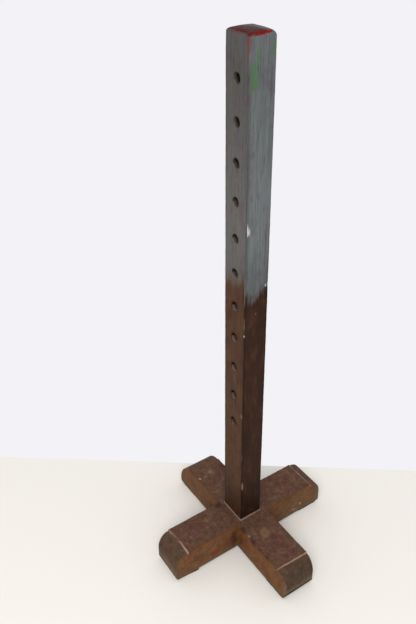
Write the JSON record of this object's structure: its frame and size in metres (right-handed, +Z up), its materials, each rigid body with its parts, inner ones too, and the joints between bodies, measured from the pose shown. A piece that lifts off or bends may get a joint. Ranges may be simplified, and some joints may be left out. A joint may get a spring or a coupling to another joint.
{
  "type": "mug tree",
  "caption": "Bare upright of a wooden mug tree: a rectangular post with a row of empty peg sockets in one face, wedged into a cross foot of halved bars on felt pads.",
  "frame": {"origin": "on the floor under the post's axis, at the centre of the cross foot", "axes": "+Z up the post; the socket face looks to -Y; the upper foot bar lies along X, the lower one along Y"},
  "size_m": [0.2886, 0.2886, 0.8075],
  "materials": {
    "post_wood": "old grey paint over the upper part, stained brown below, worn at the edges",
    "foot_wood": "stained, rubbed and dusty",
    "wedge_wood": "bare sawn hardwood",
    "felt": "pressed felt"
  },
  "bodies": {
    "root": {"post": "post_wood", "foot_bar_upper": "foot_wood", "foot_bar_lower": "foot_wood", "tenon_wedge_front": "wedge_wood", "tenon_wedge_back": "wedge_wood", "foot_pad_front": "felt", "foot_pad_right": "felt", "foot_pad_back": "felt", "foot_pad_left": "felt"}
  },
  "joints": []
}
